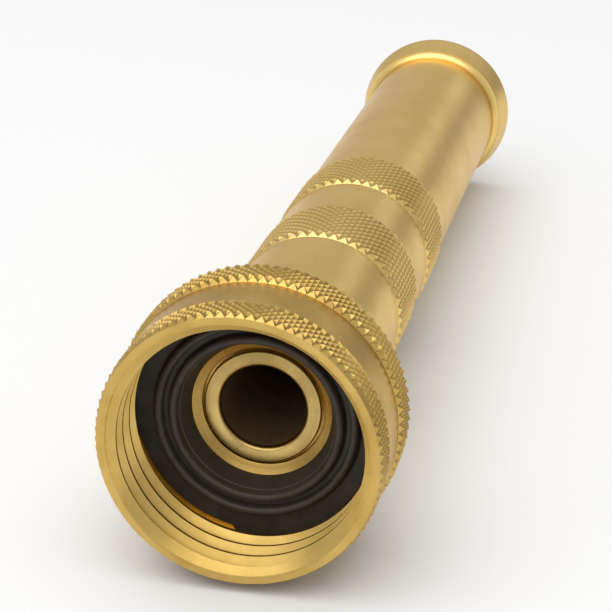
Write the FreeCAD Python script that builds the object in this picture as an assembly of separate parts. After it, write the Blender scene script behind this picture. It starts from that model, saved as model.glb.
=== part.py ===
"""Twist hose nozzle: a brass coupling, a stem fixed in it, and a barrel that screws along the stem.

Millimetres.  The nozzle's axis is +Y, from the hose end to the jet.  The origin is on that axis, at
the plane of the coupling's mouth, and +Z is up as the nozzle lies on a table.

The barrel is drawn shut: its seat holds the stem's nose ring, and its tail is one gap behind the
coupling.  Turning it about +Y carries it towards +Y along the stem's right-hand thread.
"""

import FreeCAD, Part

import math
import os

# --- clearances -------------------------------------------------------------------------------
RUNNING_GAP = 0.05          # radial, between a turned land and the bore that runs on it
FIXED_GAP = 0.01            # radial, between the stem and the coupling that grips it
RUBBER_GAP = 0.05           # between a rubber ring and the groove it sits in
EAR_GAP = 0.15              # radial, between the washer's ears and the room that they turn in
TAIL_GAP = 0.6              # along the axis, from the coupling's back to the shut barrel
EPS = 0.5                   # how far a cutting tool runs past the face it opens

# --- overall ----------------------------------------------------------------------------------
TIP_Y = 127.1               # the barrel's front face when it is shut
TRAVEL = 4.5                # how far the barrel moves, from shut to full jet

# --- coupling ---------------------------------------------------------------------------------
HOSE_CREST_R = 12.35        # inside the crests of the 3/4-11.5 hose thread
HOSE_LEAD_IN = 0.75         # countersink in front of the thread
HOSE_THREAD_L = 6.65
EAR_ROOM_H = 1.0            # radial, from the crests out to the plain room behind the thread
EAR_ROOM_L = 3.3            # from the thread's end to the face that the hose washer lies on
COUPLING_WALL = 1.0         # outside that room, at the smooth band between the knurls
KNURL_CUT = 0.35            # depth of the coupling's knurls
FRONT_KNURL_RISE = 0.1      # from the smooth band to the points of the knurl at the rim
FRONT_KNURL_L = 3.6
REAR_KNURL_RISE = 0.55      # from the smooth band to the points of the knurl at the back
REAR_KNURL_LEAD = 1.55      # how far ahead of the washer's face the rear knurl starts
REAR_KNURL_L = 4.3
RIM_BEVEL = 0.65            # bevel round the mouth's outer edge, along the axis
RIM_FACE_W = 0.65           # flat ring round the mouth
SHOULDER_L = 4.0            # cone behind the rear knurl, down to the barrel
SHOULDER_STEP = 0.87        # from the barrel's skin out to the shoulder's small end
SEAT_GROOVE_W = 0.23        # narrow groove round the stem, in the floor of the dish
SEAT_GROOVE_DEPTH = 1.5     # from the washer's face to the groove's floor
SEAT_DISH_W = 1.52          # conical dish inside the washer's face, round the groove
SEAT_DISH_DEPTH = 0.72

# --- hose washer ------------------------------------------------------------------------------
WASHER_OVERHANG = 0.6       # how far the washer reaches in over the dish
WASHER_FUNNEL = 0.8         # how much the hole widens towards the hose
WASHER_FLANGE_T = 2.0
WASHER_RIB_H = 0.95         # the two sealing ribs, above the flange
WASHER_RIB_W = 0.7
INNER_RIB_SETBACK = 0.5     # from the hole's mouth to the middle of the inner rib
RIB_PITCH = 1.55
WASHER_EARS = 3
WASHER_EAR_H = 0.55
WASHER_EAR_ANGLE = 57.0
FIRST_EAR_ANGLE = 44.5      # about +Y, from +X, to the first ear

# --- stem -------------------------------------------------------------------------------------
STEM_TAIL_R = 6.15          # where it passes through the coupling
STEM_BORE_R = 4.45
LIP_SETBACK = 0.4           # from the washer's face back to the lip at the stem's end
LIP_OUTER_ROUND = 0.2
LIP_INNER_ROUND = 0.55
STEM_LAND_H = 1.25          # from the tail out to the smooth land that the barrel's ring seals on
STEM_LAND_SPARE = 5.9       # land left in front of that ring when the barrel is fully out
STEM_THREAD_STEP = 0.5      # from the land in to the travelling thread's pitch radius
STEM_THREAD_L = 20.0
STEM_TUBE_STEP = 0.9        # from there in to the plain tube forward of the thread
BORE_END_WALL = 3.0         # solid between the waterway's blind end and the stem's head
CROSS_HOLE_R = 1.6
CROSS_HOLES = 4
CROSS_HOLE_ROWS = 2
CROSS_HOLE_PITCH = 4.6
CROSS_HOLE_SETBACK = 2.4    # from the waterway's blind end to the middle of the first row
HEAD_STEP = 0.25            # from the tube in to the head that carries the nose ring
HEAD_L = 5.0
NOSE_TIP_R = 1.9            # end of the spreader cone, just inside the outlet
NOSE_CONE_L = 4.6
NOSE_PIN_L = 1.6
NOSE_GAP = 0.4              # along the axis, from the nose cone to the barrel's cone when shut

# --- rubber rings -----------------------------------------------------------------------------
TAIL_RING_D = 1.2           # section of the ring in the barrel's tail
TAIL_RING_SETBACK = 5.0     # from the barrel's rear end to the middle of its groove
NOSE_RING_D = 1.5           # section of the ring on the stem's head
GROOVE_SPARE = 0.3          # how much wider a groove is than its ring

# --- barrel -----------------------------------------------------------------------------------
BARREL_WALL = 0.73          # outside the tail ring's groove
CHAMBER_H = 1.5             # water chamber, from the stem's tube out to the barrel
GRIP_H = 0.4                # from the barrel's skin to the points of the two knurled rings
GRIP_L = 9.8
GRIP_SETBACKS = (20.25, 40.35)  # from the barrel's rear end to each ring's first full point
GRIP_BEVEL = 0.7            # along the axis, at each end of a ring
SEAT_CONE_L = 1.6           # from the chamber down to the bore that the nose ring enters
SEAL_LEAD_L = 1.3           # from that bore's start to the middle of the nose ring
OUTLET_R = 3.3
OUTLET_L = 1.6
FLARE_W = 3.3               # radial, how much the outlet opens to the front face
FLARE_L = 2.4
LIP_HOLLOW = 0.97           # radius of the hollow at the root of the lip
LIP_FLARE = 0.9             # from the hollow out to the lip's largest radius
LIP_L = 4.6
LIP_ROUND = 0.5

AXIS = FreeCAD.Vector(0, 1, 0)
ORIGIN = FreeCAD.Vector(0, 0, 0)

# Radii that follow from the sizes above.
RELIEF_R = HOSE_CREST_R + EAR_ROOM_H
COUPLING_SKIN_R = RELIEF_R + COUPLING_WALL
FRONT_KNURL_R = COUPLING_SKIN_R + FRONT_KNURL_RISE
REAR_KNURL_R = COUPLING_SKIN_R + REAR_KNURL_RISE
SEAT_GROOVE_R = STEM_TAIL_R + SEAT_GROOVE_W
SEAT_DISH_R = SEAT_GROOVE_R + SEAT_DISH_W
WASHER_EAR_R = RELIEF_R - EAR_GAP
WASHER_R = WASHER_EAR_R - WASHER_EAR_H
WASHER_HOLE_R = SEAT_DISH_R - WASHER_OVERHANG
WASHER_MOUTH_R = WASHER_HOLE_R + WASHER_FUNNEL
INNER_RIB_R = WASHER_MOUTH_R + INNER_RIB_SETBACK
STEM_LAND_R = STEM_TAIL_R + STEM_LAND_H
STEM_THREAD_R = STEM_LAND_R - STEM_THREAD_STEP
STEM_TUBE_R = STEM_THREAD_R - STEM_TUBE_STEP
HEAD_R = STEM_TUBE_R - HEAD_STEP
NOSE_RING_R = HEAD_R + RUNNING_GAP
SEAL_BORE_R = NOSE_RING_R + RUNNING_GAP
TAIL_RING_INNER_R = STEM_LAND_R + RUNNING_GAP
TAIL_GROOVE_R = TAIL_RING_INNER_R + TAIL_RING_D + RUBBER_GAP
CHAMBER_R = STEM_TUBE_R + CHAMBER_H
BARREL_R = TAIL_GROOVE_R + BARREL_WALL
GRIP_R = BARREL_R + GRIP_H
LIP_FOOT_R = BARREL_R + LIP_HOLLOW
LIP_R = LIP_FOOT_R + LIP_FLARE
FLARE_R = OUTLET_R + FLARE_W
SHOULDER_END_R = BARREL_R + SHOULDER_STEP

# Places along the axis that follow from the sizes above.
HOSE_THREAD_END = HOSE_LEAD_IN + HOSE_THREAD_L
SEAT_Y = HOSE_THREAD_END + EAR_ROOM_L
REAR_KNURL_START = SEAT_Y - REAR_KNURL_LEAD
REAR_KNURL_END = REAR_KNURL_START + REAR_KNURL_L
COUPLING_BACK = REAR_KNURL_END + SHOULDER_L
BARREL_TAIL = COUPLING_BACK + TAIL_GAP
TAIL_RING_Y = BARREL_TAIL + TAIL_RING_SETBACK
LAND_END = TAIL_RING_Y + TRAVEL + STEM_LAND_SPARE
THREAD_END = LAND_END + STEM_THREAD_L
FLARE_START = TIP_Y - FLARE_L
OUTLET_START = FLARE_START - OUTLET_L
NOSE_SLOPE = (HEAD_R - NOSE_TIP_R) / NOSE_CONE_L
NOSE_BASE = OUTLET_START - NOSE_GAP - (SEAL_BORE_R - OUTLET_R) / NOSE_SLOPE
HEAD_START = NOSE_BASE - HEAD_L
NOSE_RING_Y = NOSE_BASE - HEAD_L / 2
SEAL_BORE_START = NOSE_RING_Y - SEAL_LEAD_L
CHAMBER_END = SEAL_BORE_START - SEAT_CONE_L
BORE_END = HEAD_START - BORE_END_WALL


def at(r, y):
    """Point of a half profile: r from the axis, y along it."""
    return FreeCAD.Vector(r, y, 0)


def outline(*steps):
    """Closed face from points, and from (via, end) pairs that each make an arc."""
    edges = []
    start = steps[0]
    here = start
    for step in steps[1:]:
        if isinstance(step, tuple):
            via, end = step
            edges.append(Part.Arc(here, via, end).toShape())
        else:
            end = step
            edges.append(Part.LineSegment(here, end).toShape())
        here = end
    edges.append(Part.LineSegment(here, start).toShape())
    return Part.Face(Part.Wire(edges))


def turned(*steps):
    """Solid of revolution about the nozzle's axis."""
    return outline(*steps).revolve(ORIGIN, AXIS, 360)


def ring(mean_r, section_d, y):
    """Rubber ring of round section on the nozzle's axis."""
    return Part.makeTorus(mean_r, section_d / 2, FreeCAD.Vector(0, y, 0), AXIS)


def corner_arc(corner, before, after, radius):
    """Arc that rounds a right-angled corner: its start, its middle and its end."""
    back = (before - corner).normalize()
    on = (after - corner).normalize()
    start = corner + back * radius
    end = corner + on * radius
    middle = corner + (back + on) * (radius * (1 - math.sqrt(0.5)))
    return start, middle, end


def make_coupling():
    """Cup that screws onto the hose, with the washer's seat and a hole for the stem in its floor."""
    rim_r = FRONT_KNURL_R - KNURL_CUT
    mouth_r = rim_r - RIM_FACE_W
    knurl_foot_r = REAR_KNURL_R - KNURL_CUT
    body = turned(
        at(STEM_TAIL_R + FIXED_GAP, SEAT_Y + SEAT_GROOVE_DEPTH),
        at(SEAT_GROOVE_R, SEAT_Y + SEAT_GROOVE_DEPTH),
        at(SEAT_GROOVE_R, SEAT_Y + SEAT_DISH_DEPTH),
        at(SEAT_DISH_R, SEAT_Y),
        at(RELIEF_R, SEAT_Y),
        at(RELIEF_R, HOSE_THREAD_END + EAR_ROOM_H),
        at(HOSE_CREST_R, HOSE_THREAD_END),
        at(HOSE_CREST_R, HOSE_LEAD_IN),
        at(mouth_r, 0),
        at(rim_r, 0),
        at(FRONT_KNURL_R, RIM_BEVEL),
        at(FRONT_KNURL_R, FRONT_KNURL_L),
        at(COUPLING_SKIN_R, FRONT_KNURL_L + FRONT_KNURL_RISE),
        at(COUPLING_SKIN_R, REAR_KNURL_START),
        at(knurl_foot_r, REAR_KNURL_START),
        at(REAR_KNURL_R, REAR_KNURL_START + KNURL_CUT),
        at(REAR_KNURL_R, REAR_KNURL_END - KNURL_CUT),
        at(knurl_foot_r, REAR_KNURL_END),
        at(SHOULDER_END_R, COUPLING_BACK),
        at(STEM_TAIL_R + FIXED_GAP, COUPLING_BACK),
    )
    return body


def make_hose_washer():
    """Rubber washer with two ribs, a funnelled hole, and ears that hold it behind the thread."""
    face = SEAT_Y - WASHER_FLANGE_T
    rib_top = face - WASHER_RIB_H
    body = turned(
        at(WASHER_HOLE_R, SEAT_Y),
        at(WASHER_R, SEAT_Y),
        at(WASHER_R, face),
        at(WASHER_MOUTH_R, face),
    )
    for rib_r in (INNER_RIB_R, INNER_RIB_R + RIB_PITCH):
        half = WASHER_RIB_W / 2
        crown = at(rib_r, rib_top)
        rib = turned(
            at(rib_r - half, face + EPS),
            at(rib_r - half, rib_top + half),
            (crown, at(rib_r + half, rib_top + half)),
            at(rib_r + half, face + EPS),
        )
        body = body.fuse(rib)
    ear = outline(
        at(WASHER_R - EPS, SEAT_Y),
        at(WASHER_EAR_R, SEAT_Y),
        at(WASHER_EAR_R, face),
        at(WASHER_R - EPS, face),
    ).revolve(ORIGIN, AXIS, WASHER_EAR_ANGLE)
    for index in range(WASHER_EARS):
        piece = ear.copy()
        piece.rotate(ORIGIN, AXIS, FIRST_EAR_ANGLE + 360.0 / WASHER_EARS * index)
        body = body.fuse(piece)
    return body.removeSplitter()


def make_stem():
    """Turned tube: lip, tail in the coupling, sealing land, thread, tube with cross holes, nose."""
    lip_y = SEAT_Y + LIP_SETBACK
    ring_groove_r = NOSE_RING_R - NOSE_RING_D
    groove_half = (NOSE_RING_D + GROOVE_SPARE) / 2
    inner_start, inner_middle, inner_end = corner_arc(
        at(STEM_BORE_R, lip_y), at(STEM_BORE_R, BORE_END), at(STEM_TAIL_R, lip_y), LIP_INNER_ROUND
    )
    outer_start, outer_middle, outer_end = corner_arc(
        at(STEM_TAIL_R, lip_y), at(STEM_BORE_R, lip_y), at(STEM_TAIL_R, COUPLING_BACK), LIP_OUTER_ROUND
    )
    nose_front = NOSE_BASE + NOSE_CONE_L
    body = turned(
        at(0, BORE_END),
        at(STEM_BORE_R, BORE_END),
        inner_start,
        (inner_middle, inner_end),
        outer_start,
        (outer_middle, outer_end),
        at(STEM_TAIL_R, COUPLING_BACK),
        at(STEM_LAND_R, COUPLING_BACK),
        at(STEM_LAND_R, LAND_END),
        at(STEM_THREAD_R, LAND_END),
        at(STEM_THREAD_R, THREAD_END),
        at(STEM_TUBE_R, THREAD_END + STEM_TUBE_STEP),
        at(STEM_TUBE_R, HEAD_START),
        at(HEAD_R, HEAD_START),
        at(HEAD_R, NOSE_RING_Y - groove_half),
        at(ring_groove_r, NOSE_RING_Y - groove_half),
        at(ring_groove_r, NOSE_RING_Y + groove_half),
        at(HEAD_R, NOSE_RING_Y + groove_half),
        at(HEAD_R, NOSE_BASE),
        at(NOSE_TIP_R, nose_front),
        at(NOSE_TIP_R, nose_front + NOSE_PIN_L),
        at(0, nose_front + NOSE_PIN_L),
    )
    for row in range(CROSS_HOLE_ROWS):
        row_y = BORE_END - CROSS_HOLE_SETBACK - row * CROSS_HOLE_PITCH
        for index in range(CROSS_HOLES):
            drill = Part.makeCylinder(
                CROSS_HOLE_R, STEM_TUBE_R + EPS, FreeCAD.Vector(0, row_y, 0), FreeCAD.Vector(0, 0, 1)
            )
            drill.rotate(ORIGIN, AXIS, (index + row / 2) * 360.0 / CROSS_HOLES)
            body = body.cut(drill)
    return body


def make_barrel():
    """Long sleeve that turns on the stem: two grip rings, water chamber, seat, outlet and lip."""
    groove_half = (TAIL_RING_D + GROOVE_SPARE) / 2
    lip_rear = TIP_Y - LIP_L
    root_start, root_middle, root_end = corner_arc(
        at(BARREL_R, lip_rear), at(BARREL_R, BARREL_TAIL), at(LIP_R, lip_rear), LIP_HOLLOW
    )
    round_start, round_middle, round_end = corner_arc(
        at(LIP_R, TIP_Y), at(LIP_R, lip_rear), at(FLARE_R, TIP_Y), LIP_ROUND
    )
    body = turned(
        at(0, BARREL_TAIL),
        at(BARREL_R - LIP_ROUND, BARREL_TAIL),
        at(BARREL_R, BARREL_TAIL + LIP_ROUND),
        root_start,
        (root_middle, root_end),
        round_start,
        (round_middle, round_end),
        at(0, TIP_Y),
    )
    for setback in GRIP_SETBACKS:
        start = BARREL_TAIL + setback
        grip = turned(
            at(BARREL_R - EPS, start - GRIP_BEVEL),
            at(BARREL_R, start - GRIP_BEVEL),
            at(GRIP_R, start),
            at(GRIP_R, start + GRIP_L),
            at(BARREL_R, start + GRIP_L + GRIP_BEVEL),
            at(BARREL_R - EPS, start + GRIP_L + GRIP_BEVEL),
        )
        body = body.fuse(grip)
    inside = turned(
        at(0, BARREL_TAIL - EPS),
        at(STEM_LAND_R + RUNNING_GAP, BARREL_TAIL - EPS),
        at(STEM_LAND_R + RUNNING_GAP, TAIL_RING_Y - groove_half),
        at(TAIL_GROOVE_R, TAIL_RING_Y - groove_half),
        at(TAIL_GROOVE_R, TAIL_RING_Y + groove_half),
        at(STEM_LAND_R + RUNNING_GAP, TAIL_RING_Y + groove_half),
        at(STEM_LAND_R + RUNNING_GAP, LAND_END + TAIL_GAP),
        at(STEM_THREAD_R + RUNNING_GAP, LAND_END + TAIL_GAP),
        at(STEM_THREAD_R + RUNNING_GAP, THREAD_END),
        at(CHAMBER_R, THREAD_END + CHAMBER_R - STEM_THREAD_R),
        at(CHAMBER_R, CHAMBER_END),
        at(SEAL_BORE_R, SEAL_BORE_START),
        at(SEAL_BORE_R, NOSE_BASE + NOSE_GAP),
        at(OUTLET_R, OUTLET_START),
        at(OUTLET_R, FLARE_START),
        at(FLARE_R, TIP_Y),
        at(FLARE_R, TIP_Y + EPS),
        at(0, TIP_Y + EPS),
    )
    return body.cut(inside)


def make_tail_ring():
    """Rubber ring in the barrel's tail; it seals on the stem's smooth land."""
    return ring(TAIL_RING_INNER_R + TAIL_RING_D / 2, TAIL_RING_D, TAIL_RING_Y)


def make_nose_ring():
    """Rubber ring on the stem's head; it shuts the water off in the barrel's seal bore."""
    return ring(NOSE_RING_R - NOSE_RING_D / 2, NOSE_RING_D, NOSE_RING_Y)


PARTS = {
    "coupling": make_coupling,
    "hose_washer": make_hose_washer,
    "stem": make_stem,
    "nose_ring": make_nose_ring,
    "tail_ring": make_tail_ring,
    "barrel": make_barrel,
}


def main():
    os.makedirs("parts", exist_ok=True)
    for name, make in PARTS.items():
        shape = make()
        box = shape.BoundBox
        print(
            f"{name:12s} solids {len(shape.Solids)} valid {shape.isValid()} volume {shape.Volume:9.2f} "
            f"y {box.YMin:7.2f}..{box.YMax:7.2f} r {box.XMax:6.2f}"
        )
        shape.exportStep(f"parts/{name}.step")


main()
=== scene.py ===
import math

import bmesh
import bpy
from mathutils import Matrix, Vector


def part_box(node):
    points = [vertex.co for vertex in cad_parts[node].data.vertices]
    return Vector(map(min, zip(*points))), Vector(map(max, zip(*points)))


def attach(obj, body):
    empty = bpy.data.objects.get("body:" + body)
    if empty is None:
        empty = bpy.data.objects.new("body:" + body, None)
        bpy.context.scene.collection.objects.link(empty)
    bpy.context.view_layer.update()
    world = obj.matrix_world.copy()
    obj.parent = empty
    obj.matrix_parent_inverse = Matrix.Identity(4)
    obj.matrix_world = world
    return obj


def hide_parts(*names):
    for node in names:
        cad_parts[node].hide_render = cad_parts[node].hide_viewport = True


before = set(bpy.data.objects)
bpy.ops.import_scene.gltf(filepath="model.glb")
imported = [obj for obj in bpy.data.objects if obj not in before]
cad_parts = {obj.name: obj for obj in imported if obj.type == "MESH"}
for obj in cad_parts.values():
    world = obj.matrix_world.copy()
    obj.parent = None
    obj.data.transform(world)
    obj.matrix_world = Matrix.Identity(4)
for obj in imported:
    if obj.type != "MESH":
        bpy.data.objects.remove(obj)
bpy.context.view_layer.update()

# ---- Coupling ---------------------------------------------------------------------------------
# The cup that screws onto the hose, turned from brass bar and rolled with two knurled bands for a
# wet hand. The hose thread is cut inside, up to a shelf for the washer's ears, and the floor is
# dished round the stem. The dish by the washer is darkened with water stains and painted shade.
MM = 0.001
coupling_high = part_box("coupling")[1] / MM
washer_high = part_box("hose_washer")[1] / MM
COUPLING_TEETH = 90
COUPLING_STEPS = 2 * COUPLING_TEETH
COUPLING_CREASE = 19
KNURL_CUT = 0.24
KNURL_BEVEL = 0.35
KNURL_ROW_L = 0.5
REAR_KNURL_R = coupling_high.x
REAR_KNURL_Y = 9.5
REAR_KNURL_ROWS = 7
REAR_KNURL_END_CUT = 0.42
SKIN_R = REAR_KNURL_R - 0.55
FRONT_KNURL_R = SKIN_R + 0.1
FRONT_KNURL_Y = 0.65
FRONT_KNURL_ROWS = 6
FRONT_KNURL_END_CUT = 0.3
FRONT_RUNOUT_ROWS = 0.8
RIM_R = FRONT_KNURL_R - KNURL_BEVEL
MOUTH_R = 13.45
MOUTH_ROUND = 0.25
THREAD_CREST_R = 12.35
THREAD_DEPTH = 0.9
THREAD_PITCH = 2.209
THREAD_START = 0.75
THREAD_END = 7.4
THREAD_ENTRY_ANGLE = -90
RELIEF_R = THREAD_CREST_R + 1.0
EAR_SHELF_Y = 9.2
WASHER_POCKET_R = 12.7
POCKET_ROUND = 0.1
SEAT_Y = washer_high.y
STEM_HOLE_R = 6.16
SEAT_GROOVE_R = 6.38
SEAT_GROOVE_DEPTH = 1.5
SEAT_GROOVE_ROUND = 0.06
SEAT_DISH_R = 7.9
SEAT_DISH_DEPTH = 0.72
DISH_CURVE_R = 7.1
DISH_CURVE_DEPTH = 0.42
DISH_CURVE_ROUND = 0.4
COUPLING_BACK = coupling_high.y
SHOULDER_R = 10.3
SHOULDER_ROUND = 0.3
# Value of "cut" where a hollow is darkened with dirt and painted shade.
DIRTY_AND_SHADED = 1.0
CHASED = -1.0


def half_section(corners, closed=True):
    """Wire of a piece's half section, radius along X, with rounded corners given as (r, y, rounding)."""
    mesh = bmesh.new()
    mesh.verts.layers.float.new("cut")
    points = [mesh.verts.new((corner[0] * MM, corner[1] * MM, 0)) for corner in corners]
    for first, second in zip(points, points[1:]):
        mesh.edges.new((first, second))
    if closed:
        mesh.edges.new((points[-1], points[0]))
    for point, corner in zip(points, corners):
        if len(corner) > 2:
            bmesh.ops.bevel(
                mesh, geom=[point], offset=corner[2] * MM, offset_type="OFFSET", segments=5,
                profile=0.5, affect="VERTICES", material=-1,
            )
    return mesh


def turn_on_lathe(mesh, steps):
    """Spins the half section about the nozzle's axis and closes the seam and the poles."""
    bmesh.ops.spin(
        mesh, geom=mesh.verts[:] + mesh.edges[:], cent=(0, 0, 0), axis=(0, 1, 0),
        dvec=(0, 0, 0), angle=math.tau, steps=steps, use_merge=True,
    )
    bmesh.ops.remove_doubles(mesh, verts=mesh.verts[:], dist=1e-7)
    bmesh.ops.dissolve_degenerate(mesh, edges=mesh.edges[:], dist=1e-8)
    bmesh.ops.recalc_face_normals(mesh, faces=mesh.faces[:])


def radius_of(place):
    """How far a place is from the nozzle's axis, in millimetres."""
    return math.hypot(place.x, place.z) / MM


def step_round(vert, steps):
    """Which of the lathe's steps a vertex stands on."""
    return round(math.atan2(-vert.co.z, vert.co.x) / math.tau * steps) % steps


def on_ring(mesh, radius, y):
    """Vertices on one circle about the axis."""
    near = 0.02
    return [
        vert for vert in mesh.verts
        if abs(radius_of(vert.co) - radius) < near and abs(vert.co.y / MM - y) < near
    ]


def push_out(vert, distance):
    """Moves a vertex away from the axis."""
    share = 1 + distance / radius_of(vert.co)
    vert.co.x *= share
    vert.co.z *= share


def roll_knurl(mesh, radius, cut, end_cut, start, rows, row_length, steps, front, rear):
    """Presses crossing grooves into a band, which leaves a point at every other vertex.

    end_cut is their depth where they leave the band, and front and rear are the (radius, y) of the
    plain rings that it runs out to."""
    layer = mesh.verts.layers.float["cut"]
    grooves = []
    ends = {0: [], rows: []}
    for row in range(rows + 1):
        for vert in on_ring(mesh, radius, start + row * row_length):
            if (step_round(vert, steps) + row) % 2:
                push_out(vert, -end_cut if row in ends else -cut)
                # Groove vertices are darkened with dirt and painted shade.
                vert[layer] = DIRTY_AND_SHADED
                grooves.append(vert)
            elif row in ends:
                ends[row].append(vert)
    bmesh.ops.connect_verts(mesh, verts=grooves)
    for row, ring in ((0, front), (rows, rear)):
        plain = [vert for vert in on_ring(mesh, *ring) if (step_round(vert, steps) + row) % 2]
        bmesh.ops.connect_verts(mesh, verts=ends[row] + plain)


def helical_groove(start, turns, pitch, mouth_r, root_r, mouth_w, root_w, steps):
    """Closed helical bar of trapezoid section, which cuts a right-hand thread."""
    bar = bmesh.new()
    section = [(mouth_r, -mouth_w / 2), (root_r, -root_w / 2), (root_r, root_w / 2), (mouth_r, mouth_w / 2)]
    corners = [bar.verts.new((r * MM, (start + y) * MM, 0)) for r, y in section]
    face = bar.faces.new(corners)
    bmesh.ops.spin(
        bar, geom=[face] + face.verts[:] + face.edges[:], cent=(0, 0, 0), axis=(0, 1, 0),
        dvec=(0, pitch * MM / steps, 0), angle=math.tau * turns, steps=round(steps * turns), use_merge=False,
    )
    bmesh.ops.recalc_face_normals(bar, faces=bar.faces[:])
    return bar


def turn_about_axis(mesh, degrees):
    """Turns a mesh about the nozzle's axis."""
    turn = Matrix.Rotation(math.radians(degrees), 3, "Y")
    bmesh.ops.rotate(mesh, verts=mesh.verts[:], cent=(0, 0, 0), matrix=turn)


def object_from(name, mesh):
    """Object at the origin that holds the mesh."""
    data = bpy.data.meshes.new(name)
    mesh.to_mesh(data)
    mesh.free()
    made = bpy.data.objects.new(name, data)
    bpy.context.scene.collection.objects.link(made)
    return made


def cut_away(piece, cutter_mesh):
    """Cuts a closed shape out of a piece."""
    cutter = object_from("cutter", cutter_mesh)
    cut = piece.modifiers.new("cut", "BOOLEAN")
    cut.operation = "DIFFERENCE"
    cut.solver = "EXACT"
    cut.object = cutter
    bpy.context.view_layer.update()
    shaped = piece.evaluated_get(bpy.context.evaluated_depsgraph_get())
    plain = piece.data
    piece.data = bpy.data.meshes.new_from_object(shaped)
    piece.modifiers.clear()
    bpy.data.meshes.remove(plain)
    bpy.data.objects.remove(cutter)


def crisp_edges(piece, degrees):
    """Smooth faces, with every edge sharper than the angle kept crisp."""
    mesh = bmesh.new()
    mesh.from_mesh(piece.data)
    bmesh.ops.dissolve_degenerate(mesh, edges=mesh.edges[:], dist=2e-6)
    for face in mesh.faces:
        face.smooth = True
    for edge in mesh.edges:
        edge.smooth = edge.calc_face_angle(0) < math.radians(degrees)
    mesh.to_mesh(piece.data)
    mesh.free()
    even = piece.modifiers.new("even_shading", "WEIGHTED_NORMAL")
    even.mode = "FACE_AREA"
    even.keep_sharp = True


def add_node(tree, kind, inputs, **settings):
    """Shader node whose sockets are either linked or given a value."""
    made = tree.nodes.new(kind)
    for key, value in settings.items():
        setattr(made, key, value)
    for socket, value in inputs.items():
        if isinstance(value, bpy.types.NodeSocket):
            tree.links.new(value, made.inputs[socket])
        else:
            made.inputs[socket].default_value = value
    return made


def mixed(tree, factor, first, second):
    """Colour between two others."""
    return add_node(tree, "ShaderNodeMix", {0: factor, 6: first, 7: second}, data_type="RGBA").outputs[2]


def ranged(tree, value, source, result):
    """Value carried from one (low, high) range to another, and held inside it."""
    low, high = source
    to_low, to_high = result
    node = add_node(
        tree, "ShaderNodeMapRange",
        {"Value": value, "From Min": low, "From Max": high, "To Min": to_low, "To Max": to_high},
    )
    return node.outputs["Result"]


def speckle(tree, place, scale, detail, roughness, dimensions="3D"):
    """Cloudy pattern of a chosen scale."""
    return add_node(
        tree, "ShaderNodeTexNoise",
        {"Vector": place, "Scale": scale, "Detail": detail, "Roughness": roughness},
        noise_dimensions=dimensions,
    ).outputs["Fac"]


def turned_brass(name, pale, deep, dirt_and_shade_colour, roughness, line_scale, line_depth):
    """Satin brass with the tool's rings round the axis, faint patches, and hollows darkened with dirt and
    painted shade.

    The attribute "cut" marks the hollows that get dirt and painted shade, and is CHASED on a thread, which
    has none of the rings that turning leaves."""
    material = bpy.data.materials.new(name)
    material.use_nodes = True
    tree = material.node_tree
    shader = tree.nodes["Principled BSDF"]
    place = add_node(tree, "ShaderNodeTexCoord", {}).outputs["Object"]
    across = add_node(tree, "ShaderNodeVectorMath", {0: place, 1: (1, 0, 1)}, operation="MULTIPLY")
    radius = add_node(tree, "ShaderNodeVectorMath", {0: across.outputs["Vector"]}, operation="LENGTH")
    along = add_node(tree, "ShaderNodeSeparateXYZ", {0: place}).outputs["Y"]
    ring_place = add_node(tree, "ShaderNodeCombineXYZ", {0: radius.outputs["Value"], 1: along}).outputs[0]
    cut = add_node(tree, "ShaderNodeAttribute", {}, attribute_name="cut").outputs["Fac"]
    chased = ranged(tree, cut, (CHASED, 0), (1, 0))
    rings = speckle(tree, ring_place, line_scale, 4, 0.65, dimensions="2D")
    lines = add_node(tree, "ShaderNodeMix", {0: chased, 2: rings, 3: 0.5}, data_type="FLOAT").outputs[0]
    patches = speckle(tree, place, 140, 5, 0.6)
    grain = speckle(tree, place, 5200, 2, 0.5)

    tone = mixed(tree, ranged(tree, patches, (0.36, 0.66), (0, 1)), pale, deep)
    tone = mixed(tree, ranged(tree, lines, (0.5, 0.8), (0, 0.35)), tone, deep)
    tone = mixed(tree, ranged(tree, grain, (0.66, 0.8), (0, 0.5)), tone, dirt_and_shade_colour)
    # Dirt and painted shade: hollows marked by "cut" are darkened towards the dirt-and-shade colour.
    tone = mixed(tree, ranged(tree, cut, (0.25, DIRTY_AND_SHADED), (0, 0.55)), tone, dirt_and_shade_colour)
    tree.links.new(tone, shader.inputs["Base Color"])
    shader.inputs["Metallic"].default_value = 1.0
    shader.inputs["Specular Tint"].default_value = (0.85, 0.78, 0.72, 1)
    worn = add_node(tree, "ShaderNodeMath", {0: lines, 1: patches}, operation="ADD").outputs[0]
    rough = ranged(tree, worn, (0.7, 1.3), (roughness - 0.05, roughness + 0.07))
    tree.links.new(rough, shader.inputs["Roughness"])
    ridged = add_node(tree, "ShaderNodeBump", {"Height": lines, "Strength": 1.0, "Distance": line_depth})
    rubbed = add_node(
        tree, "ShaderNodeBump",
        {"Height": grain, "Strength": 0.6, "Distance": 4e-6, "Normal": ridged.outputs["Normal"]},
    )
    tree.links.new(rubbed.outputs["Normal"], shader.inputs["Normal"])
    return material


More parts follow.
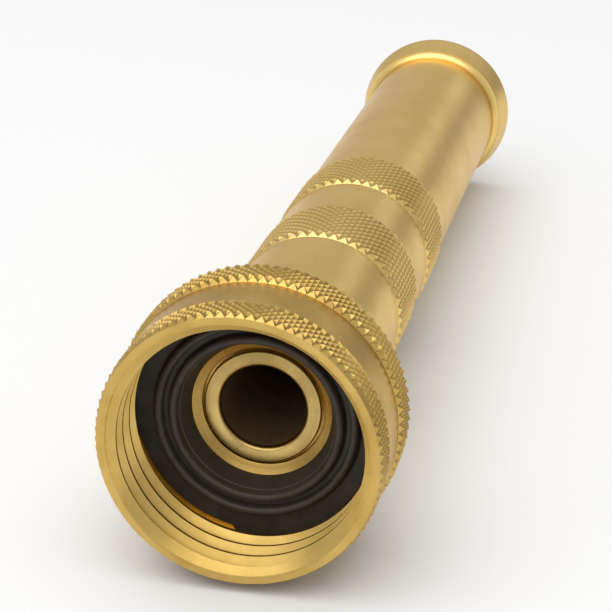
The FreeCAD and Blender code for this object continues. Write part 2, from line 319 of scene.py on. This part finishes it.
coupling_outline = [
    (STEM_HOLE_R, SEAT_Y + SEAT_GROOVE_DEPTH),
    (SEAT_GROOVE_R, SEAT_Y + SEAT_GROOVE_DEPTH),
    (SEAT_GROOVE_R, SEAT_Y + SEAT_DISH_DEPTH, SEAT_GROOVE_ROUND),
    (DISH_CURVE_R, SEAT_Y + DISH_CURVE_DEPTH, DISH_CURVE_ROUND),
    (SEAT_DISH_R, SEAT_Y),
    (WASHER_POCKET_R, SEAT_Y),
    (WASHER_POCKET_R, EAR_SHELF_Y, POCKET_ROUND),
    (RELIEF_R, EAR_SHELF_Y),
    (RELIEF_R, THREAD_END + RELIEF_R - THREAD_CREST_R),
    (THREAD_CREST_R, THREAD_END),
    (THREAD_CREST_R, THREAD_START),
    (MOUTH_R, 0, MOUTH_ROUND),
    (RIM_R, 0),
]
for row in range(FRONT_KNURL_ROWS + 1):
    coupling_outline.append((FRONT_KNURL_R, FRONT_KNURL_Y + row * KNURL_ROW_L))
front_runout = (SKIN_R, FRONT_KNURL_Y + (FRONT_KNURL_ROWS + FRONT_RUNOUT_ROWS) * KNURL_ROW_L)
rear_front_foot = (SKIN_R, REAR_KNURL_Y - KNURL_BEVEL)
coupling_outline += [front_runout, rear_front_foot]
for row in range(REAR_KNURL_ROWS + 1):
    coupling_outline.append((REAR_KNURL_R, REAR_KNURL_Y + row * KNURL_ROW_L))
rear_knurl_end = REAR_KNURL_Y + REAR_KNURL_ROWS * KNURL_ROW_L
rear_back_foot = (REAR_KNURL_R - KNURL_BEVEL, rear_knurl_end + KNURL_BEVEL)
coupling_outline += [
    rear_back_foot,
    (SHOULDER_R, COUPLING_BACK, SHOULDER_ROUND),
    (STEM_HOLE_R, COUPLING_BACK),
]
coupling_mesh = half_section(coupling_outline)
turn_on_lathe(coupling_mesh, COUPLING_STEPS)
# Water stains and painted shade: the dish deep in the cup, next to the washer, is darkened.
dirt_and_shade_r = (SEAT_DISH_R + WASHER_POCKET_R) / 2
dirt_and_shade_y = SEAT_Y + (SEAT_DISH_DEPTH + SEAT_GROOVE_DEPTH) / 2
for vert in coupling_mesh.verts:
    if radius_of(vert.co) < dirt_and_shade_r and vert.co.y < dirt_and_shade_y * MM:
        vert[coupling_mesh.verts.layers.float["cut"]] = DIRTY_AND_SHADED
roll_knurl(
    coupling_mesh, radius=FRONT_KNURL_R, cut=KNURL_CUT, end_cut=FRONT_KNURL_END_CUT, start=FRONT_KNURL_Y,
    rows=FRONT_KNURL_ROWS, row_length=KNURL_ROW_L, steps=COUPLING_STEPS, front=(RIM_R, 0), rear=front_runout,
)
roll_knurl(
    coupling_mesh, radius=REAR_KNURL_R, cut=KNURL_CUT, end_cut=REAR_KNURL_END_CUT, start=REAR_KNURL_Y,
    rows=REAR_KNURL_ROWS, row_length=KNURL_ROW_L, steps=COUPLING_STEPS, front=rear_front_foot,
    rear=rear_back_foot,
)
coupling = object_from("knurled_coupling", coupling_mesh)
thread_cutter = helical_groove(
    start=-1.8, turns=4.5, pitch=THREAD_PITCH, mouth_r=THREAD_CREST_R - 0.1,
    root_r=THREAD_CREST_R + THREAD_DEPTH, mouth_w=2.04, root_w=0.83, steps=COUPLING_STEPS,
)
turn_about_axis(thread_cutter, THREAD_ENTRY_ANGLE)
cut_away(coupling, thread_cutter)
chased_r = RELIEF_R + 0.05
chased_y = THREAD_END + RELIEF_R - THREAD_CREST_R + 0.05
for vert, cut in zip(coupling.data.vertices, coupling.data.attributes["cut"].data):
    if radius_of(vert.co) < chased_r and vert.co.y < chased_y * MM:
        cut.value = CHASED
crisp_edges(coupling, COUPLING_CREASE)
coupling_brass = turned_brass(
    "coupling_brass", pale=(0.68, 0.462, 0.14, 1), deep=(0.53, 0.347, 0.092, 1),
    dirt_and_shade_colour=(0.19, 0.10, 0.022, 1), roughness=0.29, line_scale=3200, line_depth=1.8e-5,
)
coupling.data.materials.append(coupling_brass)
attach(coupling, "root")
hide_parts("coupling")

# ---- Hose washer ------------------------------------------------------------------------------
# Black moulded rubber. Two round ribs on its face seal against the end of the hose, and three ears
# on its rim lie on the cup's shelf, behind the thread, and keep it in the cup.
WASHER_STEPS = 180
WASHER_CREASE = 40
WASHER_R = washer_high.x
WASHER_HOLE_R = 7.3
WASHER_MOUTH_R = 8.0
WASHER_MOUTH_ROUND = 0.1
WASHER_FACE_Y = 8.7
WASHER_ROUND = 0.15
RIBS_R = (10.15, 8.6)
RIB_TOP_Y = 7.75
RIB_HALF_W = 0.36
RIB_ROUND = 0.32
RIB_OUTER_SLOPE = 0.22
RIB_INNER_SLOPE = 0.12
EARS = 3
EAR_H = 0.55
EAR_START = 44.5
EAR_SPAN = 57.0
EAR_ROOT_R = 11.7
EAR_BACK_Y = EAR_SHELF_Y - 0.02


def dull_skin(name, colour, bloom, roughness):
    """Dull dark surface, as of moulded rubber, with a fine skin and a faint dusty bloom."""
    material = bpy.data.materials.new(name)
    material.use_nodes = True
    tree = material.node_tree
    shader = tree.nodes["Principled BSDF"]
    place = add_node(tree, "ShaderNodeTexCoord", {}).outputs["Object"]
    dust = speckle(tree, place, 420, 6, 0.7)
    skin = speckle(tree, place, 6500, 2, 0.5)
    dusted = mixed(tree, ranged(tree, dust, (0.4, 0.75), (0, 0.7)), colour, bloom)
    tree.links.new(dusted, shader.inputs["Base Color"])
    rough = ranged(tree, dust, (0.3, 0.7), (roughness - 0.06, roughness + 0.08))
    tree.links.new(rough, shader.inputs["Roughness"])
    shader.inputs["Specular IOR Level"].default_value = 0.4
    bump = add_node(tree, "ShaderNodeBump", {"Height": skin, "Strength": 0.7, "Distance": 6e-6})
    tree.links.new(bump.outputs["Normal"], shader.inputs["Normal"])
    return material


washer_outline = [
    (WASHER_HOLE_R, SEAT_Y),
    (WASHER_R, SEAT_Y),
    (WASHER_R, EAR_SHELF_Y),
    (WASHER_R, EAR_BACK_Y),
    (WASHER_R, WASHER_FACE_Y, WASHER_ROUND),
]
for rib_r in RIBS_R:
    washer_outline += [
        (rib_r + RIB_HALF_W + RIB_OUTER_SLOPE, WASHER_FACE_Y, WASHER_ROUND),
        (rib_r + RIB_HALF_W, RIB_TOP_Y, RIB_ROUND),
        (rib_r - RIB_HALF_W, RIB_TOP_Y, RIB_ROUND),
        (rib_r - RIB_HALF_W - RIB_INNER_SLOPE, WASHER_FACE_Y),
    ]
washer_outline.append((WASHER_MOUTH_R, WASHER_FACE_Y, WASHER_MOUTH_ROUND))
washer_mesh = half_section(washer_outline)
turn_on_lathe(washer_mesh, WASHER_STEPS)
for vert in washer_mesh.verts:
    turned_to = math.degrees(math.atan2(-vert.co.z, vert.co.x)) - EAR_START
    in_ear = turned_to % (360 / EARS) <= EAR_SPAN
    ahead_of_shelf = vert.co.y < (EAR_BACK_Y + EAR_SHELF_Y) / 2 * MM
    if in_ear and ahead_of_shelf and radius_of(vert.co) > EAR_ROOT_R:
        push_out(vert, EAR_H)
washer = object_from("rubber_hose_washer", washer_mesh)
crisp_edges(washer, WASHER_CREASE)
black_rubber = dull_skin(
    "black_rubber", colour=(0.034, 0.027, 0.019, 1), bloom=(0.068, 0.054, 0.038, 1), roughness=0.48
)
washer.data.materials.append(black_rubber)
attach(washer, "root")
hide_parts("hose_washer")

# ---- Stem -------------------------------------------------------------------------------------
# The turned brass tube fixed in the coupling's floor. Its rounded lip stands behind the washer's
# hole; inside the barrel it has a land for the tail ring, the travelling thread, cross holes that
# let the water out, and a head with the nose ring's groove and a pointed nose.
stem_low, stem_high = [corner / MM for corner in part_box("stem")]
nose_ring_low, nose_ring_high = [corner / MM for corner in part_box("nose_ring")]
STEM_STEPS = 128
STEM_CREASE = 30
LIP_Y = stem_low.y
LIP_SLOPE = 0.05
LIP_INNER_ROUND = 0.55
LIP_OUTER_ROUND = 0.2
BORE_R = 4.45
TAIL_R = 6.15
LAND_R = stem_high.x
LAND_END = 33.45
LAND_ROUND = 0.2
STEM_THREAD_R = LAND_R - 0.5
STEM_THREAD_DEPTH = 0.45
STEM_THREAD_END = LAND_END + 20.0
STEM_THREAD_PITCH = 1.5
TUBE_R = STEM_THREAD_R - 0.9
HEAD_R = TUBE_R - 0.25
HEAD_HALF_L = 2.5
NOSE_RING_Y = (nose_ring_low.y + nose_ring_high.y) / 2
HEAD_START = NOSE_RING_Y - HEAD_HALF_L
HEAD_END = NOSE_RING_Y + HEAD_HALF_L
RING_GROOVE_R = 4.3
RING_GROOVE_HALF_W = 0.9
RING_GROOVE_ROUND = 0.1
NOSE_R = 1.9
NOSE_CONE_L = 4.6
NOSE_PIN_L = 1.6
NOSE_ROUND = 0.15
BORE_END = HEAD_START - 3.0
DRILL_POINT_Y = BORE_END + 1.35
BORE_BRIGHT_L = 0.7
CROSS_HOLE_R = 1.6
CROSS_HOLE_ROWS = 2
CROSS_HOLE_PITCH = 4.6
CROSS_HOLE_SETBACK = 2.4
DRILL_L = 16.0
stem_outline = [
    (0, DRILL_POINT_Y),
    (BORE_R, BORE_END),
    (BORE_R, LIP_Y, LIP_INNER_ROUND),
    (TAIL_R, LIP_Y + LIP_SLOPE, LIP_OUTER_ROUND),
    (TAIL_R, COUPLING_BACK),
    (LAND_R, COUPLING_BACK),
    (LAND_R, LAND_END, LAND_ROUND),
    (STEM_THREAD_R, LAND_END),
    (STEM_THREAD_R, STEM_THREAD_END),
    (TUBE_R, STEM_THREAD_END + STEM_THREAD_R - TUBE_R),
    (TUBE_R, HEAD_START),
    (HEAD_R, HEAD_START),
    (HEAD_R, NOSE_RING_Y - RING_GROOVE_HALF_W, RING_GROOVE_ROUND),
    (RING_GROOVE_R, NOSE_RING_Y - RING_GROOVE_HALF_W),
    (RING_GROOVE_R, NOSE_RING_Y + RING_GROOVE_HALF_W),
    (HEAD_R, NOSE_RING_Y + RING_GROOVE_HALF_W, RING_GROOVE_ROUND),
    (HEAD_R, HEAD_END),
    (NOSE_R, HEAD_END + NOSE_CONE_L),
    (NOSE_R, HEAD_END + NOSE_CONE_L + NOSE_PIN_L, NOSE_ROUND),
    (0, HEAD_END + NOSE_CONE_L + NOSE_PIN_L),
]
stem_mesh = half_section(stem_outline, closed=False)
turn_on_lathe(stem_mesh, STEM_STEPS)
stem = object_from("brass_stem", stem_mesh)
stem_thread_cutter = helical_groove(
    start=LAND_END + 0.95, turns=12, pitch=STEM_THREAD_PITCH, mouth_r=STEM_THREAD_R + 0.2,
    root_r=STEM_THREAD_R - STEM_THREAD_DEPTH, mouth_w=1.25, root_w=0.3, steps=STEM_STEPS // 2,
)
cut_away(stem, stem_thread_cutter)
for row in range(CROSS_HOLE_ROWS):
    for hole_turn in (45 * row, 45 * row + 90):
        drill = bmesh.new()
        bmesh.ops.create_cone(
            drill, cap_ends=True, cap_tris=False, segments=32, radius1=CROSS_HOLE_R * MM,
            radius2=CROSS_HOLE_R * MM, depth=DRILL_L * MM,
        )
        turn_about_axis(drill, hole_turn)
        hole_y = BORE_END - CROSS_HOLE_SETBACK - row * CROSS_HOLE_PITCH
        bmesh.ops.translate(drill, verts=drill.verts[:], vec=(0, hole_y * MM, 0))
        cut_away(stem, drill)
crisp_edges(stem, STEM_CREASE)
# Painted shade: the stem's brass is darker than the other pieces' to stand for the shade deep in the cup.
stem_brass = turned_brass(
    "stem_brass", pale=(0.62, 0.45, 0.16, 1), deep=(0.36, 0.25, 0.085, 1), dirt_and_shade_colour=(0.16, 0.07, 0.015, 1),
    roughness=0.24, line_scale=3000, line_depth=8e-6,
)
stained_bore = dull_skin(
    "stained_bore", colour=(0.16, 0.10, 0.05, 1), bloom=(0.09, 0.055, 0.025, 1), roughness=0.45
)
stem.data.materials.append(stem_brass)
stem.data.materials.append(stained_bore)
for face in stem.data.polygons:
    inside = radius_of(face.center) < BORE_R + 0.01
    if inside and LIP_Y + BORE_BRIGHT_L < face.center.y / MM < DRILL_POINT_Y:
        face.material_index = stem.data.materials.find("stained_bore")
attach(stem, "root")
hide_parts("stem")

# ---- Rubber rings -----------------------------------------------------------------------------
# Two round rubber rings: one on the stem's head, which shuts the water off, and one in the barrel's
# tail, which keeps it from coming back along the thread. Both are plain moulded rings.
ring_rubber = dull_skin(
    "ring_rubber", colour=(0.02, 0.019, 0.017, 1), bloom=(0.03, 0.028, 0.026, 1), roughness=0.4
)
for ring_name in ("nose_ring", "tail_ring"):
    ring_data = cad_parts[ring_name].data
    ring_data.materials.clear()
    ring_data.materials.append(ring_rubber)

# ---- Barrel -----------------------------------------------------------------------------------
# The long brass sleeve that screws along the stem. It is turned in one piece with two knurled grip
# rings, a seat and outlet inside its tip, and a flared lip that guards the outlet.
barrel_low, barrel_high = [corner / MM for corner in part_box("barrel")]
tail_ring_low, tail_ring_high = [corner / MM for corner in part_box("tail_ring")]
GRIP_TEETH = 50
BARREL_STEPS = 2 * GRIP_TEETH
BARREL_CREASE = 24
BARREL_R = 9.43
BARREL_TAIL = barrel_low.y
BARREL_TAIL_ROUND = 0.45
GRIP_R = BARREL_R + 0.4
GRIP_SETBACKS = (20.25, 40.35)
GRIP_ROWS = 16
GRIP_ROW_L = 0.6125
GRIP_BEVEL = 0.7
GRIP_CUT = 0.22
GRIP_END_CUT = 0.3
TIP_Y = barrel_high.y
LIP_R = barrel_high.x
LIP_L = 4.6
LIP_FOOT_R = BARREL_R + 0.97
LIP_HOLLOW = 0.95
LIP_ROUND = 0.5
OUTLET_R = 3.3
OUTLET_L = 1.6
FLARE_R = 6.6
FLARE_L = 2.4
FLARE_ROUND = 0.2
RUNNING_GAP = 0.05
AXIAL_GAP = 0.6
NOSE_GAP = 0.4
TAIL_RING_Y = (tail_ring_low.y + tail_ring_high.y) / 2
TAIL_GROOVE_R = tail_ring_high.z + RUNNING_GAP
TAIL_GROOVE_HALF_W = 0.75
CHAMBER_R = TUBE_R + 1.5
SEAL_BORE_R = nose_ring_high.x + RUNNING_GAP
SEAL_BORE_START = NOSE_RING_Y - 1.3
SEAT_CONE_L = 1.6


def grip_runouts(setback):
    """First full ring of a grip's points, and the plain rings that its two ends run out to."""
    start = BARREL_TAIL + setback
    return start, (BARREL_R, start - GRIP_BEVEL), (BARREL_R, start + GRIP_ROWS * GRIP_ROW_L + GRIP_BEVEL)


barrel_outline = [(LAND_R + RUNNING_GAP, BARREL_TAIL), (BARREL_R, BARREL_TAIL, BARREL_TAIL_ROUND)]
for setback in GRIP_SETBACKS:
    grip_start, front_foot, back_foot = grip_runouts(setback)
    barrel_outline.append(front_foot)
    for row in range(GRIP_ROWS + 1):
        barrel_outline.append((GRIP_R, grip_start + row * GRIP_ROW_L))
    barrel_outline.append(back_foot)
barrel_outline += [
    (BARREL_R, TIP_Y - LIP_L, LIP_HOLLOW),
    (LIP_FOOT_R, TIP_Y - LIP_L),
    (LIP_R, TIP_Y, LIP_ROUND),
    (FLARE_R, TIP_Y, FLARE_ROUND),
    (OUTLET_R, TIP_Y - FLARE_L),
    (OUTLET_R, TIP_Y - FLARE_L - OUTLET_L),
    (SEAL_BORE_R, HEAD_END + NOSE_GAP),
    (SEAL_BORE_R, SEAL_BORE_START),
    (CHAMBER_R, SEAL_BORE_START - SEAT_CONE_L),
    (CHAMBER_R, STEM_THREAD_END + CHAMBER_R - STEM_THREAD_R),
    (STEM_THREAD_R + RUNNING_GAP, STEM_THREAD_END),
    (STEM_THREAD_R + RUNNING_GAP, LAND_END + AXIAL_GAP),
    (LAND_R + RUNNING_GAP, LAND_END + AXIAL_GAP),
    (LAND_R + RUNNING_GAP, TAIL_RING_Y + TAIL_GROOVE_HALF_W),
    (TAIL_GROOVE_R, TAIL_RING_Y + TAIL_GROOVE_HALF_W),
    (TAIL_GROOVE_R, TAIL_RING_Y - TAIL_GROOVE_HALF_W),
    (LAND_R + RUNNING_GAP, TAIL_RING_Y - TAIL_GROOVE_HALF_W),
]
barrel_mesh = half_section(barrel_outline)
turn_on_lathe(barrel_mesh, BARREL_STEPS)
for setback in GRIP_SETBACKS:
    grip_start, front_foot, back_foot = grip_runouts(setback)
    roll_knurl(
        barrel_mesh, radius=GRIP_R, cut=GRIP_CUT, end_cut=GRIP_END_CUT, start=grip_start, rows=GRIP_ROWS,
        row_length=GRIP_ROW_L, steps=BARREL_STEPS, front=front_foot, rear=back_foot,
    )
barrel = object_from("barrel_with_grips", barrel_mesh)
crisp_edges(barrel, BARREL_CREASE)
barrel_brass = turned_brass(
    "barrel_brass", pale=(0.88, 0.64, 0.235, 1), deep=(0.78, 0.55, 0.175, 1), dirt_and_shade_colour=(0.24, 0.13, 0.03, 1),
    roughness=0.31, line_scale=3600, line_depth=8e-6,
)
barrel.data.materials.append(barrel_brass)
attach(barrel, "barrel")
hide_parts("barrel")

# ---- Floor, light and camera ------------------------------------------------------------------
# A plain white sheet that the nozzle lies on, touching the rear knurl and the barrel's lip, with
# soft light from above and the camera a little above and to the right of the hose end.
FLOOR_TILT = math.atan((REAR_KNURL_R - LIP_R) / (TIP_Y - LIP_ROUND - rear_knurl_end))
FLOOR_SIZE = 4.0
ROOM_GREY = (0.62, 0.62, 0.62, 1)
CEILING_GREY = (0.62, 0.62, 0.63, 1)
LAMP_TARGET = Vector((0, 0.05, 0))
CAMERA_LOWERED = 20.68
CAMERA_TURNED = 13.3
floor_mesh = bmesh.new()
bmesh.ops.create_grid(floor_mesh, x_segments=1, y_segments=1, size=FLOOR_SIZE)
floor = object_from("floor", floor_mesh)
floor.location = (0, rear_knurl_end * MM, -REAR_KNURL_R * MM / math.cos(FLOOR_TILT))
floor.rotation_euler = (FLOOR_TILT, 0, 0)
white_sheet = bpy.data.materials.new("white_sheet")
white_sheet.use_nodes = True
paper = white_sheet.node_tree.nodes["Principled BSDF"]
paper.inputs["Base Color"].default_value = (0.775, 0.775, 0.77, 1)
paper.inputs["Roughness"].default_value = 0.9
floor.data.materials.append(white_sheet)

# The room is an even grey in front of the nozzle and overhead, and darker behind it on the right.
world = bpy.data.worlds.new("studio")
bpy.context.scene.world = world
world.use_nodes = True
sky = world.node_tree
looking = add_node(sky, "ShaderNodeTexCoord", {}).outputs["Generated"]
bearing = add_node(sky, "ShaderNodeSeparateXYZ", {0: looking})
behind = ranged(sky, bearing.outputs["X"], (-0.1, 0.42), (0.64, 0.36))
in_front = ranged(sky, bearing.outputs["Y"], (0.3, -0.3), (0, 1))
around = mixed(sky, in_front, behind, ROOM_GREY)
overhead = ranged(sky, bearing.outputs["Z"], (0.1, 0.7), (0, 1))
shade = mixed(sky, overhead, around, CEILING_GREY)
sky.links.new(shade, sky.nodes["Background"].inputs["Color"])
sky.nodes["Background"].inputs["Strength"].default_value = 1.0


def softbox(name, direction, distance, width, depth, radiance):
    """Flat lamp that looks at the nozzle, as bright as its radiance from any side."""
    data = bpy.data.lights.new(name, "AREA")
    data.shape = "RECTANGLE"
    data.size = width
    data.size_y = depth
    data.energy = 4 * radiance * width * depth
    lamp = bpy.data.objects.new(name, data)
    toward = Vector(direction).normalized()
    lamp.location = toward * distance + LAMP_TARGET
    lamp.rotation_euler = toward.to_track_quat("Z", "Y").to_euler()
    bpy.context.scene.collection.objects.link(lamp)


softbox("top_front", direction=(-0.1, -0.25, 0.95), distance=1.2, width=1.8, depth=1.5, radiance=1.3)
softbox("front_fill", direction=(-0.2, -0.85, 0.55), distance=1.1, width=1.1, depth=0.6, radiance=0.72)
softbox("far_window", direction=(0.24, 0.93, 0.265), distance=1.0, width=0.2, depth=0.2, radiance=0.4)

camera_data = bpy.data.cameras.new("camera")
camera_data.sensor_width = 36.0
camera_data.lens = 114.9
camera_data.shift_x = 0.06
camera_data.shift_y = -0.031
camera_data.clip_start = 0.01
camera_data.clip_end = 20.0
camera = bpy.data.objects.new("camera", camera_data)
camera.location = (0.04239, -0.16516, 0.08156)
camera.rotation_euler = (math.radians(90 - CAMERA_LOWERED), 0, math.radians(CAMERA_TURNED))
bpy.context.scene.collection.objects.link(camera)
bpy.context.scene.camera = camera
bpy.context.scene.view_settings.view_transform = "Standard"
